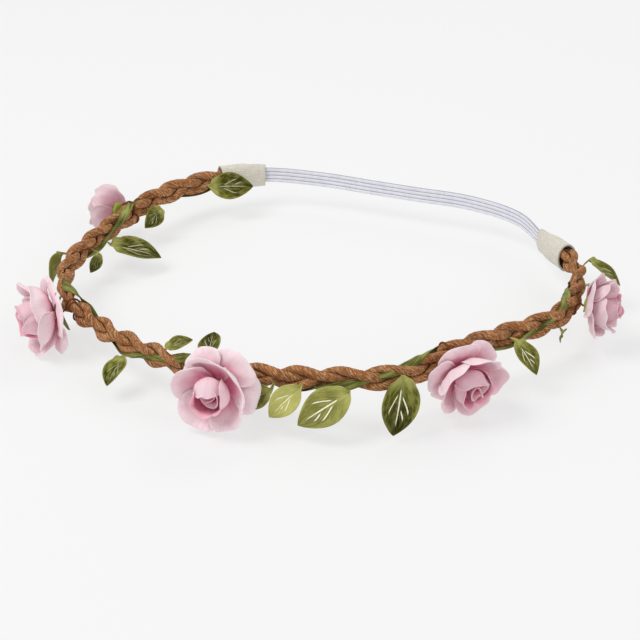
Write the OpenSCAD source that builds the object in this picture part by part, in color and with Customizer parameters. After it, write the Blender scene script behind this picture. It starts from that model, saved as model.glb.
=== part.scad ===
// Flower crown: a three-strand plaited cord headband dressed with a wound leaf ribbon,
// wire-stemmed roses and a ribbed elastic closed by two woven-tape sleeves.
// Millimetres. +Z is up, the elastic is at +Y, the middle of the forehead at -Y.
// Angles along the band are counted from the front, positive towards +X.

/* [Band] */
// Radius of the band's centreline
ring_r = 88; // [76:1:104]
// Height of the band's centreline above the table
ring_h = 14.5; // [14.5:0.5:22]
// Clear gap between neighbouring pieces
fit_gap = 0.3; // [0.2:0.05:0.4]

/* [Plait] */
// Thickness of one cord
strand_d = 2.6; // [2:0.1:2.8]
// Length along the band of one cord's full wave
plait_pitch = 39; // [28:1:40]
// Angle from the front to either end of the plait
plait_end = 129; // [124:1:132]

/* [Leaf ribbon] */
// Width of the satin ribbon
ribbon_w = 3.5; // [2.5:0.5:4.5]
// Thickness of the ribbon and of the leaves
ribbon_t = 0.3; // [0.25:0.05:0.4]
// Angle along the band taken by one turn of the ribbon
ribbon_turn = 47; // [40:1:56]

/* [Leaves] */
// Widest part of a leaf for each millimetre of its length
leaf_ratio = 0.64; // [0.5:0.02:0.75]
// Share of every leaf's nominal length
leaf_scale = 1; // [0.85:0.05:1.05]

/* [Roses] */
// Diameter over a rose's outer petals
rose_d = 28; // [26:0.5:29]
// Thickness of one petal
petal_t = 0.4; // [0.3:0.05:0.5]
// Thickness of the stem wire
wire_d = 0.7; // [0.5:0.1:1]

/* [Elastic] */
// Height of the flat elastic, standing on edge
elastic_w = 6; // [5:0.5:7]
// Thickness over the elastic's ribs
elastic_t = 1.1; // [0.8:0.1:1.4]

/* [Sleeves] */
// Wall of the woven-tape sleeve
sleeve_wall = 0.6; // [0.5:0.1:0.9]
// Angle along the band covered by one sleeve
sleeve_span = 11.5; // [11:0.5:13]

/* [Hidden] */
// The band as laid by hand: how far it stands out from the circle and up from its height,
// at every 15 degrees from the middle of the elastic round by the left ear.
band_lay = [
  [-12, -1.5], [-12, -1.5], [-6.5, -1.5], [0, -1], [2.5, -1], [0.5, -0.5],
  [-2, -0.5], [-0.5, -0.5], [3.5, -0.5], [4, -0.5], [0.5, -0.5], [-1.5, -0.5],
  [-0.5, 0.5], [-1, 2], [1.5, 3.5], [4.5, 4.5], [-4, 4], [-3.5, 3],
  [2.5, 2], [3, 0.5], [2.5, -0.5], [-3.5, -1], [-2, -1.5], [-6.5, -1.5]
];
lay_step = 360 / len(band_lay);

// Sideways swing and depth of a cord in the plait, and the round space the plait fills
swing = 0.98 * strand_d;
depth = 0.8 * strand_d;
plait_r = sqrt(swing * swing / 2 + depth * depth) + strand_d / 2;
ribbon_r = plait_r + fit_gap + ribbon_t / 2;
wrap_r = ribbon_r + ribbon_t / 2 + fit_gap;
plait_arc = 2 * plait_end * PI / 180 * ring_r;
plait_waves = round(3 * plait_arc / plait_pitch) / 3;
ribbon_end = plait_end + 7 - sleeve_span - 1.6;

// Ribbon: where it crosses the outside of the band, its round and its advance in one turn,
// and half the clock angle that it covers
ribbon_from = 36;
ribbon_run = 2 * PI * ribbon_r;
ribbon_lead = ribbon_turn * PI / 180 * ring_r;
ribbon_len = norm([ribbon_run, ribbon_lead]);
ribbon_cover = ribbon_w / 2 * ribbon_len / ribbon_lead / ribbon_r * 180 / PI;

// Stem wire: radius of its turns on the cords, its rise over the ribbon, its advance in one turn
stem_r = plait_r + fit_gap + wire_d / 2;
ribbon_rise = ribbon_t + fit_gap;
stem_lead = 2.5 * wire_d;

// Hip of a rose: its height, its foot, rim and post, the wire's bore and the clear angle it needs
calyx_h = 1;
foot_r = 1.5;
hip_r = 3.2;
post_r = 1.4;
bore_top = 1.5;
hip_cover = 40;
// Step from one petal of a whorl to the next one under it
petal_lap = 0.6;

// Sleeve: where it starts, tapers and ends, and its hollow at each of those places
mouth_at = plait_end + 7 - sleeve_span;
taper_at = plait_end + 0.5;
sleeve_end = mouth_at + sleeve_span;
mouth_in = plait_r + fit_gap + 0.1;
// Room round the elastic in the pressed end
end_ease = 0.7;
end_in = [elastic_t / 2 + end_ease, elastic_w / 2 + end_ease];
plug_at = [plait_end + (strand_d / 2 + fit_gap) * 180 / PI / ring_r, sleeve_end - 2.2];
elastic_at = sleeve_end - 2;

// Roses: place along the band, tilt downwards, turn of the flower, share of the full size,
// how far it has opened
roses = [
  ["front", 8.5, 2, 0, 0.97, 1],
  ["front_right", 58, 18, 50, 0.95, 0.85],
  ["right", 98, -7, 5, 0.84, 0.55],
  ["left", -40, 4, 40, 1, 0.9],
  ["back_left", -94, 5, 10, 0.76, 0.1]
];

// Leaves: place along the band, clock angle of the sewn base round the plait (0 outwards,
// 90 up), clock angle and lean of the blade, clock angle its face looks to, length
leaves = [
  [-120, 180, 175, -60, 150, 16.5],
  [-102, 200, 238, 72, 140, 11],
  [-79.5, 225, 186, -22, 120, 19],
  [-72, 200, 280, 35, 130, 7.5],
  [-67, 0, 285, 60, 0, 14],
  [-50, -65, 265, 64, 340, 13],
  [-18, -35, 347, 19, 60, 12.5],
  [-6, 75, 145, 45, 60, 9],
  [4.5, 80, 155, -15, 50, 12],
  [19, -25, 288, -62, 30, 12],
  [25, -5, 300, -46, 30, 14],
  [34.5, -25, 318, -56, 30, 19],
  [44, 28, 287, -12, 10, 20],
  [75, 0, 332, 1, 25, 13],
  [90, -60, 245, 45, 0, 8],
  [105, 40, 273, 6, 0, 11],
  [117, 45, 335, -22, 80, 14]
];

// Petal whorls of a rose of this diameter: petals, half the angle one petal spans, turn,
// profile from base to tip when open and when shut
profile_d = 27;
outer_whorl = [5, 42, 0,
  [[2.9, 0.8], [6.5, 1.2], [10.5, 1.6], [13.5, 0.4]],
  [[2.9, 0.8], [7.5, 0.8], [10.6, 3.5], [10.8, 9]]];
cup_whorl = [5, 42, 36,
  [[2.7, 2.4], [6.8, 3.2], [10.6, 5.4], [12.2, 9.8]],
  [[2.7, 2.4], [6.2, 2.8], [8.4, 5.6], [8.4, 11]]];
heart_whorl = [3, 74, 15,
  [[2.8, 4.2], [5.2, 5.2], [7.2, 8.6], [7, 13]],
  [[2.8, 4.2], [4.8, 5], [6.2, 8.4], [6, 12.8]]];

letters = ["a", "b", "c"];
sides = ["left", "right"];
two = function(n) n < 10 ? str("0", n) : str(n);
leaf_names = [for (i = [1:len(leaves)]) str("leaf_", two(i))];
rose_parts = ["stem", "calyx", "outer_petals", "inner_petals", "bud"];

// The band's centreline and the directions along it, outwards from it and up
function lay_row(i) = band_lay[(i + 2 * len(band_lay)) % len(band_lay)];
function smooth(p, f) =
  0.5 * (2 * p[1] + (p[2] - p[0]) * f + (2 * p[0] - 5 * p[1] + 4 * p[2] - p[3]) * f * f
         + (3 * p[1] - p[0] - 3 * p[2] + p[3]) * f * f * f);
function lay_at(a) =
  let (t = (a + 180) / lay_step, i = floor(t))
  smooth([for (k = [-1:2]) lay_row(i + k)], t - i);
function mid(a) =
  let (l = lay_at(a), r = ring_r + l[0])
  [r * sin(a), -r * cos(a), ring_h + l[1]];
function unit(v) = v / norm(v);
function along(a) = unit(mid(a + 0.5) - mid(a - 0.5));
function outward(a) = unit(cross(along(a), [0, 0, 1]));
function upward(a) = cross(outward(a), along(a));
function clock(a, c) = cos(c) * outward(a) + sin(c) * upward(a);
function turning(a, c) = cos(c) * upward(a) - sin(c) * outward(a);

// Faces of rings laid one after another: closed rows make a hollow ring, open rows get caps.
// The two sides of a flat ring are split along the same diagonals.
function side_faces(n, m, rows) = [
  for (i = [0:rows - 1]) for (j = [0:m - 1])
    let (k = (i + 1) % n, q = (j + 1) % m,
         a = i * m + j, b = i * m + q, c = k * m + q, d = k * m + j)
    each j < m / 2 ? [[a, b, c], [a, c, d]] : [[a, b, d], [b, c, d]]
];
function cap_faces(n, m) =
  let (e = (n - 1) * m)
  [for (j = [0:m / 2 - 2])
    let (k = m - 1 - j)
    each [[j, k, k - 1], [j, k - 1, j + 1],
          [e + j, e + j + 1, e + k - 1], [e + j, e + k - 1, e + k]]];
function rod_faces(n, m) = concat(side_faces(n, m, n - 1), cap_faces(n, m));
function shifted(faces, by) = [for (f = faces) [for (i = f) i + by]];

// One closed skin for each list of rings
module skins(list) {
  n = len(list[0]);
  m = len(list[0][0]);
  polyhedron(
    points = [for (s = list) for (r = s) each r],
    faces = [for (k = [0:len(list) - 1]) each shifted(rod_faces(n, m), k * n * m)]
  );
}

module hollow_ring(rings) {
  polyhedron(points = [for (r = rings) each r],
             faces = side_faces(len(rings), len(rings[0]), len(rings)));
}

// An ellipse across the band
function oval(a, half, sides) = [
  for (j = [0:sides - 1])
    let (c = j * 360 / sides)
    mid(a) + half[0] * cos(c) * outward(a) + half[1] * sin(c) * upward(a)
];

// One cord of the plait: it swings up and down across the band and dips in and out
function strand_mid(a, k) =
  let (w = 360 * (plait_waves * (a + plait_end) / (2 * plait_end) + k / 3))
  mid(a) + swing * cos(w) * upward(a) + depth * sin(2 * w) * outward(a);
function strand_ring(a, k) =
  let (t = unit(strand_mid(a + 0.1, k) - strand_mid(a - 0.1, k)),
       o = unit(outward(a) - (outward(a) * t) * t),
       u = cross(o, t))
  [for (j = [0:5]) strand_mid(a, k) + strand_d / 2 * (cos(60 * j) * o + sin(60 * j) * u)];
strand_rings = round(plait_waves * 12);
module strand(k) {
  color("#a5602f")
    skins([[for (i = [0:strand_rings])
      strand_ring(-plait_end + 2 * plait_end * i / strand_rings, k)]]);
}

// The satin ribbon, wound round the plait and curved to it
function ribbon_clock(a) = 360 * (a - ribbon_from) / ribbon_turn;
function ribbon_ring(a) =
  let (turn = ribbon_w / 2 * ribbon_lead / ribbon_len / ribbon_r * 180 / PI,
       step = ribbon_w / 2 * ribbon_run / ribbon_len)
  [for (s = [[-1, -1], [0, -1], [1, -1], [1, 1], [0, 1], [-1, 1]])
    mid(a) + s[0] * step * along(a)
      + (ribbon_r + s[1] * ribbon_t / 2) * clock(a, ribbon_clock(a) - s[0] * turn)];
ribbon_steps = 16;
ribbon_rings = round(2 * ribbon_end / ribbon_turn * ribbon_steps);
module leaf_ribbon() {
  color("#8f9c56")
    skins([[for (i = [0:ribbon_rings])
      ribbon_ring(-ribbon_end + 2 * ribbon_end * i / ribbon_rings)]]);
}

// Least distance between stretches of a winding that lie more than half a turn apart
function least_gap(points, half_turn, thick) =
  min([for (i = [0:len(points) - 1]) for (j = [i + half_turn:1:len(points) - 1])
    norm(points[i] - points[j])]) - thick;
echo(ribbon_gap = least_gap([for (i = [0:ribbon_rings])
  let (a = -ribbon_end + 2 * ribbon_end * i / ribbon_rings)
  mid(a) + ribbon_r * clock(a, ribbon_clock(a))], ribbon_steps / 2 + 1, ribbon_w));

// How far the plait, or the ribbon over it, reaches out at a place where a leaf is sewn on
stalk_w = 1.4;
function apart(c) = abs((c % 360 + 540) % 360 - 180);
function cord_reach(a, c) =
  max([for (k = [0:2])
    let (q = strand_mid(a, k) - mid(a), y = q * turning(a, c))
    abs(y) < strand_d / 2 ? q * clock(a, c) + sqrt(strand_d * strand_d / 4 - y * y) : 0]);
function seat_at(a, c) =
  let (half = stalk_w / 2 / plait_r * 180 / PI)
  apart(ribbon_clock(a) - c) < ribbon_cover + half + 5
    ? wrap_r + 0.1
    : fit_gap + max([for (i = [-0.5, 0, 0.5]) for (j = [-half, 0, half]) cord_reach(a + i, c + j)]);

// A leaf: a pointed oval with a folded midrib, sewn on by a narrow stalk
leaf_foot = wrap_r + 0.5;
function leaf_half(v) = v < 0.45 ? 0.08 + 0.42 * sin(200 * v) : 0.5 * cos(90 * (v - 0.45) / 0.55) ^ 0.8;
function strip(p, y, n, half, lift) = [
  for (s = [[1, 0], [0, 0], [-1, 0], [-1, 1], [0, 1], [1, 1]])
    p + s[0] * half * y + (lift * abs(s[0]) + (s[1] - 0.5) * ribbon_t) * n
];
module leaf(i) {
  l = leaves[i];
  a = l[0];
  size = leaf_scale * l[5];
  d = sin(l[3]) * along(a) + cos(l[3]) * clock(a, l[2]);
  n = unit(clock(a, l[4]) - (clock(a, l[4]) * d) * d);
  y = cross(n, d);
  o = clock(a, l[1]);
  y_foot = unit(y - (y * o) * o);
  bend = unit(o + d);
  y_bend = unit(y - (y * bend) * bend);
  p = mid(a) + leaf_foot * o;
  color("#7d8c3c")
    skins([concat(
      [strip(mid(a) + seat_at(a, l[1]) * o, y_foot, cross(o, y_foot), stalk_w / 2, 0)],
      [strip(p, y_bend, cross(bend, y_bend), stalk_w / 2, 0)],
      [for (v = [0.08, 0.2, 0.33, 0.45, 0.6, 0.75, 0.9, 1])
        let (half = max(0.2, leaf_half(v) * leaf_ratio * size))
        strip(p + v * size * d - 0.16 * size * v * v * n, y, n, half, 0.22 * half)]
    )]);
}

// Petals of a whorl: each one lies over the next, so one edge is lifted and the other tucked
function bezier(p, t) =
  (1 - t) ^ 3 * p[0] + 3 * t * (1 - t) ^ 2 * p[1] + 3 * t * t * (1 - t) * p[2] + t ^ 3 * p[3];
function petal_point(w, p, k, u, v, side, f) =
  let (e = v * (1 - 0.18 * u ^ 2 - 0.14 * u ^ 4),
       t = unit(bezier(p, e + 0.02) - bezier(p, e - 0.02)),
       q = bezier(p, e) + [t.y, -t.x] * (f * petal_lap * u + side * petal_t / 2),
       c = w[2] + 360 * k / w[0] + u * w[1])
  [q.x * cos(c), q.x * sin(c), q.y];
petal_across = [-1, -0.6, 0, 0.6, 1];
function petal_ring(w, p, k, v, f) = concat(
  [for (u = petal_across) petal_point(w, p, k, u, v, -1, f)],
  [for (u = petal_across) petal_point(w, p, k, -u, v, 1, f)]
);
function whorl(w, f, open) =
  let (p = f * (open * w[3] + (1 - open) * w[4]))
  [for (k = [0:w[0] - 1]) [for (v = [0:0.25:1]) petal_ring(w, p, k, v, f)]];

// The rolled heart of a rose, standing on the post
bud_turn = 500;
bud_steps = 18;
function bud_ring(i, f) =
  let (g = i / bud_steps, c = bud_turn * g, foot = f * (0.35 + 1.2 * g), rim = f * (0.9 + 2.9 * g),
       b = post_top(f) + fit_gap, h = f * (14 - 1.5 * g))
  [for (s = [[foot - petal_t / 2, b], [foot + petal_t / 2, b],
             [rim + petal_t / 2, h], [rim - petal_t / 2, h]])
    [s[0] * cos(c), s[0] * sin(c), s[1]]];

// The way a rose faces, the clock angle of that on the band, and how far its foot stands out so
// that its whole rim clears the wire, and the ribbon where that runs under it
function rose_axis(r) = [cos(r[2]) * sin(r[1]), -cos(r[2]) * cos(r[1]), -sin(r[2])];
function rose_clock(r) = atan2(rose_axis(r) * upward(r[1]), rose_axis(r) * outward(r[1]));
function rose_skew(r) = rose_axis(r) * along(r[1]);
function rose_seat(r) =
  let (on_ribbon = apart(ribbon_clock(r[1]) - rose_clock(r)) < ribbon_cover + hip_cover,
       clear = stem_r + wire_d / 2 + fit_gap + (on_ribbon ? ribbon_rise : 0))
  (clear + foot_r * abs(rose_skew(r))) / sqrt(1 - rose_skew(r) ^ 2) + calyx_h;

// Places a flower on its seat outside the band
module on_seat(r) {
  translate(mid(r[1]))
    rotate([0, 90 + r[2], r[1] - 90])
      translate([0, 0, rose_seat(r)])
        rotate([0, 0, r[3]])
          children();
}
function size_of(r) = rose_d / profile_d * r[4];
function post_top(f) = 3.1 * f;
module petals(r, whorls) {
  color("#ecc9d6")
    on_seat(r)
      skins([for (w = whorls) each whorl(w, size_of(r), r[5])]);
}
module bud(r) {
  color("#e08fb0")
    on_seat(r)
      skins([[for (i = [0:bud_steps]) bud_ring(i, size_of(r))]]);
}

// The green hip under the petals, bored for the wire, with the taped post the petals are tied to
bore_r = wire_d / 2 + fit_gap / 2;
module calyx(r) {
  top = post_top(size_of(r));
  color("#a9b04a")
    on_seat(r)
      rotate_extrude($fn = 32)
        polygon([[bore_r, -calyx_h], [foot_r, -calyx_h], [hip_r, -0.5], [hip_r, -0.3],
                 [post_r, -0.3], [post_r, top], [0, top], [0, bore_top], [bore_r, bore_top]]);
}

// The stem wire: from inside the hip down to the plait, then round it, riding up over the ribbon
function over_ribbon(a, c) =
  let (d = apart(ribbon_clock(a) - c) - ribbon_cover, flat = 8, ramp = 32)
  d < flat ? 1 : d > flat + ramp ? 0 : (1 + cos((d - flat) * 180 / ramp)) / 2;
stem_turns = [12:24:444];
function stem_advance(r, c) = stem_r * rose_skew(r) + stem_lead * c / 360;
function stem_point(r, c) =
  let (a = r[1], k = rose_clock(r) + c, adv = stem_advance(r, c),
       here = a + adv / ring_r * 180 / PI)
  mid(a) + adv * along(a) + (stem_r + ribbon_rise * over_ribbon(here, k)) * clock(a, k);
function wire_ring(a, q, k) = [
  for (j = [0:5]) q + wire_d / 2 * (cos(60 * j) * clock(a, k) - sin(60 * j) * along(a))
];
echo(stem_gap = min([for (r = roses)
  least_gap([for (c = stem_turns) stem_point(r, c)], 8, wire_d)]));
module stem(r) {
  a = r[1];
  k = rose_clock(r);
  bend = wire_d;
  knee = mid(a) + (stem_r + 0.3 * bend) * rose_axis(r) + 0.3 * bend * turning(a, k);
  color("#6b4a2c")
    skins([concat(
      [wire_ring(a, mid(a) + (rose_seat(r) + bore_top - fit_gap) * rose_axis(r), 90 + k)],
      [wire_ring(a, mid(a) + (stem_r + bend) * rose_axis(r), 90 + k)],
      [wire_ring(a, knee, 45 + k)],
      [for (c = stem_turns) wire_ring(a, stem_point(r, c), c + k)]
    )]);
}

// The elastic: four round ribs side by side, swept along the back of the band
ribs = 4;
rib_line = [
  for (i = [0:ribs - 1])
    each [[0.3, i / ribs - 0.5], [0.5, (i + 0.5) / ribs - 0.5]]
];
elastic_line = concat(
  rib_line,
  [[0.3, 0.5], [-0.3, 0.5]],
  [for (i = [len(rib_line) - 1:-1:0]) [-rib_line[i][0], rib_line[i][1]]]
);
function elastic_ring(a) = [
  for (q = elastic_line)
    mid(a) + q[0] * elastic_t * outward(a) + q[1] * elastic_w * upward(a)
];
elastic_rings = 24;
module elastic_band() {
  color("#e3e3ee")
    skins([[for (i = [0:elastic_rings])
      elastic_ring(elastic_at + (360 - 2 * elastic_at) * i / elastic_rings)]]);
}

// A woven-tape sleeve: round over the plait, flat over the elastic
function sleeve_in(a) =
  let (f = max(0, (a - taper_at) / (sleeve_end - taper_at)))
  [mouth_in, mouth_in] * (1 - f) + end_in * f;
sleeve_stops = [mouth_at, (mouth_at + taper_at) / 2, taper_at, (taper_at + sleeve_end) / 2, sleeve_end];
function sleeve_row(s, a, wall) = oval(s * a, sleeve_in(a) + [wall, wall], 16);
module sleeve(s) {
  out_rows = [for (a = sleeve_stops) sleeve_row(s, a, sleeve_wall)];
  in_rows = [for (i = [len(sleeve_stops) - 1:-1:0]) sleeve_row(s, sleeve_stops[i], 0)];
  rows = concat(out_rows, in_rows);
  color("#e6e1d2")
    hollow_ring(s > 0 ? rows : [for (i = [len(rows) - 1:-1:0]) rows[i]]);
}

// The bead of glue inside a sleeve that holds the cord ends to the elastic
module bond_plug(s) {
  stops = [plug_at[0], plug_at[0] / 2 + plug_at[1] / 2, plug_at[1]];
  rows = [for (a = stops) oval(s * a, sleeve_in(a) - [fit_gap, fit_gap], 12)];
  color("#d8c9a0")
    skins([s > 0 ? rows : [for (i = [2:-1:0]) rows[i]]]);
}

for (k = [0:2])
  strand(k);
leaf_ribbon();
elastic_band();
for (k = [0:1]) {
  sleeve(2 * k - 1);
  bond_plug(2 * k - 1);
}
for (i = [0:len(leaves) - 1])
  leaf(i);
for (r = roses) {
  stem(r);
  calyx(r);
  petals(r, [outer_whorl]);
  bud(r);
}
for (r = roses)
  union() {
    petals(r, [cup_whorl, heart_whorl]);
  }
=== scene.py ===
"""Flower crown: a plaited cord headband with satin leaves and paper roses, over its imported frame."""

import logging
import math
from dataclasses import dataclass
from enum import Enum
from functools import partialmethod

import bpy
import numpy as np
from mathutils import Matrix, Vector

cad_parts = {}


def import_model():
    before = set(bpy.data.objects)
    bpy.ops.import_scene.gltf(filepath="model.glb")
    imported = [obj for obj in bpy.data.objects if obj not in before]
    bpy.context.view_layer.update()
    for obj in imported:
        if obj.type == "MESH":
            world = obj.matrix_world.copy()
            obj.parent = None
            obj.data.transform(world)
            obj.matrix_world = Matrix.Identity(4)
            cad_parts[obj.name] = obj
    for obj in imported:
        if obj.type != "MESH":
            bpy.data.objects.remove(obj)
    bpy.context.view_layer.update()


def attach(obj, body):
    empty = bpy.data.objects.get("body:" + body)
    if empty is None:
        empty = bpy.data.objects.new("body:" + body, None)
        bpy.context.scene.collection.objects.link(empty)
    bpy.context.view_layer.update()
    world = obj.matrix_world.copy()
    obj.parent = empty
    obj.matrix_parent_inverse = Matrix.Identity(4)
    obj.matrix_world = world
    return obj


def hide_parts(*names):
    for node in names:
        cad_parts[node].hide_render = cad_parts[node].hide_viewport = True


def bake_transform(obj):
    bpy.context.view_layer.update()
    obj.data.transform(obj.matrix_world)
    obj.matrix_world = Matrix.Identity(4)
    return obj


LOG = logging.getLogger("flower_crown")
MM = 0.001
UP = np.array([0.0, 0.0, 1.0])
WHITE = (1.0, 1.0, 1.0, 1.0)

Array = np.ndarray
Color = tuple[float, float, float, float]
Face = tuple[int, ...]
Numbers = Array | float
Material = bpy.types.Material
Piece = bpy.types.Object
Socket = bpy.types.NodeSocket
Value = Socket | float | tuple
Look = dict[str, Value]


class Body(str, Enum):
    """The two halves of the headband that flex against each other."""

    LEFT = "left_band"
    RIGHT = "right_band"


class Slot(str, Enum):
    """Material slots of the record."""

    CORD = "plait_cord"
    RIBBON = "leaf_ribbon"
    LEAF = "satin_leaf"
    ELASTIC = "elastic"
    TAPE = "sleeve_tape"
    GLUE = "glue"
    WIRE = "stem_wire"
    HIP = "calyx"
    PETAL = "rose_petal"
    HEART = "rose_heart"


# Small maths


def unit(v: Array) -> Array:
    """Vectors scaled to length one along the last axis."""
    return v / np.maximum(np.linalg.norm(v, axis=-1, keepdims=True), 1e-12)


def flat_to(v: Array, axis: Array) -> Array:
    """The part of v square to axis, at length one."""
    return unit(v - np.sum(v * axis, axis=-1, keepdims=True) * axis)


def ease(low: float, high: float, x: Array) -> Array:
    """Smooth step from 0 at low to 1 at high."""
    t = np.clip((np.asarray(x, float) - low) / (high - low), 0.0, 1.0)
    return t * t * (3.0 - 2.0 * t)


def cosd(a: Numbers) -> Array:
    """Cosine of degrees."""
    return np.cos(np.radians(a))


def sind(a: Numbers) -> Array:
    """Sine of degrees."""
    return np.sin(np.radians(a))


def half_turn(a: Numbers) -> Array:
    """Degrees brought between -180 and 180."""
    return (a + 180.0) % 360.0 - 180.0


def ticks(count: int) -> Array:
    """Angles, in radians, of points spread evenly round a circle."""
    return np.arange(count) * math.tau / count


def turn_about(axis: int, degrees: float) -> Array:
    """Matrix of a turn about x, y or z, numbered from 0."""
    i, j = (axis + 1) % 3, (axis + 2) % 3
    c, s = math.cos(math.radians(degrees)), math.sin(math.radians(degrees))
    matrix = np.eye(3)
    matrix[i, i] = matrix[j, j] = c
    matrix[j, i], matrix[i, j] = s, -s
    return matrix


def run_of(path: Array) -> Array:
    """Length along a path of points, from 0."""
    return np.concatenate([[0.0], np.cumsum(np.linalg.norm(np.diff(path, axis=0), axis=1))])


def hoops(path: Array, first: Array, second: Array, a: Array, b: Array) -> Array:
    """Rings of points about a path: a along its first direction and b along its second."""
    return path[:, None] + a[..., None] * first[:, None] + b[..., None] * second[:, None]


def stacked(first: Numbers, second: Numbers, third: Numbers) -> Array:
    """Three numbers, broadcast to one shape, side by side along a new last axis."""
    return np.stack(np.broadcast_arrays(first, second, third), axis=-1).astype(float)


def about(r: Array, c: Array, z: Array) -> Array:
    """Points about the upright axis at radius r, turn c in radians and height z."""
    return stacked(r * np.cos(c), r * np.sin(c), z)


def srgb(*display: int) -> Color:
    """Linear colour with alpha from 8-bit display values."""
    shares = [c / 255 for c in display]
    return (*(c / 12.92 if c <= 0.04 else ((c + 0.055) / 1.055) ** 2.4 for c in shares), 1.0)


# Meshes


class Skin:
    """Gathers rings and sheets of points, in millimetres, into one smooth mesh.

    Each point carries lay, three numbers that its finish reads, and side: 0 on the face of a leaf, inside
    a petal or where a cord meets its neighbour (there the cord finish paints shade), and 1 on the other
    face or in the open.
    """

    RIM_BULGE = 0.4
    RIM_SIDE = 0.6

    def __init__(self) -> None:
        """Starts with no points."""
        self.points: list[Array] = []
        self.lays: list[Array] = []
        self.sides: list[Array] = []
        self.faces: list[Face] = []

    def _take(self, points: Array, lay: Array, side: Numbers) -> int:
        """Adds points and returns the index of the first."""
        first = sum(map(len, self.points))
        self.points.append(points.reshape(-1, 3))
        self.lays.append(lay.reshape(-1, 3))
        self.sides.append(np.broadcast_to(np.ravel(side), len(self.points[-1])))
        return first

    def tube(self, rings: Array, lay: Array, side: Numbers = 1.0, looped: bool = False) -> "Skin":
        """Joins rings of points into a closed skin, turned outwards by the volume that it closes.

        Args:
            rings: Points as (ring, round the ring, xyz).
            lay: Lay numbers of the same shape.
            side: Side of each point, or one number for all.
            looped: Whether the last ring joins the first; otherwise both ends are capped.

        Returns:
            This skin.
        """
        n, m = rings.shape[:2]
        first = self._take(rings, lay, side)
        faces: list[Face] = []
        for i in range(n if looped else n - 1):
            here, there = first + i * m, first + (i + 1) % n * m
            faces += [(here + j, here + (j + 1) % m, there + (j + 1) % m, there + j) for j in range(m)]
        for row, way in () if looped else ((0, -1), (n - 1, 1)):
            hub = self._take(rings[row].mean(axis=0), lay[row].mean(axis=0), 1.0)
            edge = [first + row * m + j for j in range(m)][::way]
            faces += [(edge[j], edge[(j + 1) % m], hub) for j in range(m)]
        p = np.concatenate(self.points) - rings.reshape(-1, 3).mean(axis=0)
        a, b, c = p[[(f[0], f[i], f[i + 1]) for f in faces for i in range(1, len(f) - 1)]].swapaxes(0, 1)
        inward = np.sum(a * np.cross(b, c)) < 0
        self.faces += [f[::-1] for f in faces] if inward else faces
        return self

    def sheet(self, grid: Array, thick: float, lay: Array) -> "Skin":
        """Adds a thin sheet with two faces and a rounded rim.

        Args:
            grid: Middle surface as (across, along, xyz).
            thick: Thickness of the sheet.
            lay: Lay numbers of the same shape.

        Returns:
            This skin.
        """
        n, m = grid.shape[:2]
        normal = unit(np.cross(np.gradient(grid, axis=0), np.gradient(grid, axis=1)))
        front = self._take(grid + normal * thick / 2, lay, 1.0)
        back = self._take(grid - normal * thick / 2, lay, 0.0)
        loop = [(i, 0) for i in range(n - 1)] + [(n - 1, j) for j in range(m - 1)]
        loop += [(i, m - 1) for i in range(n - 1, 0, -1)] + [(0, j) for j in range(m - 1, 0, -1)]
        inner = [(min(max(i, 1), n - 2), min(max(j, 1), m - 2)) for i, j in loop]
        edge = np.array([grid[q] for q in loop])
        out = unit(edge - np.array([grid[q] for q in inner]))
        rim_lay = np.array([lay[q] for q in loop])
        rim = self._take(edge + out * thick * self.RIM_BULGE, rim_lay, self.RIM_SIDE)
        for i in range(n - 1):
            for j in range(m - 1):
                q = (i * m + j, (i + 1) * m + j, (i + 1) * m + j + 1, i * m + j + 1)
                self.faces.append(tuple(front + k for k in q))
                self.faces.append(tuple(back + k for k in q[::-1]))
        spots = [(i * m + j, rim + k) for k, (i, j) in enumerate(loop)]
        for (b0, r0), (b1, r1) in zip(spots, spots[1:] + spots[:1]):
            self.faces += [(front + b1, front + b0, r0, r1), (r1, r0, back + b0, back + b1)]
        return self

    def make(self, name: str, finish: Material) -> Piece:
        """Builds the object.

        Args:
            name: Name of the piece.
            finish: Its material.

        Returns:
            The new object, in metres, in the scene.
        """
        mesh = bpy.data.meshes.new(name)
        mesh.from_pydata((np.concatenate(self.points) * MM).tolist(), [], self.faces)
        for label, kind, field, rows in (("lay", "FLOAT_VECTOR", "vector", self.lays),
                                         ("side", "FLOAT", "value", self.sides)):
            numbers = np.concatenate(rows).astype(np.float32).ravel()
            mesh.attributes.new(label, kind, "POINT").data.foreach_set(field, numbers)
        mesh.polygons.foreach_set("use_smooth", [True] * len(mesh.polygons))
        mesh.update()
        mesh.materials.append(finish)
        piece = bpy.data.objects.new(name, mesh)
        bpy.context.scene.collection.objects.link(piece)
        return piece


def hand_over(piece: Piece, body: str, node: str) -> None:
    """Puts a piece on its body, in the place of its CAD node.

    Args:
        piece: The new piece.
        body: Body that carries it.
        node: CAD node that it stands for.
    """
    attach(piece, body)
    settle(piece, node)


def settle(piece: Piece, node: str) -> None:
    """Hides the CAD node that a piece stands for, and logs both."""
    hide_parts(node)
    LOG.info("%s: %d faces in place of %s", piece.name, len(piece.data.polygons), node)


# Finishes


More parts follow.
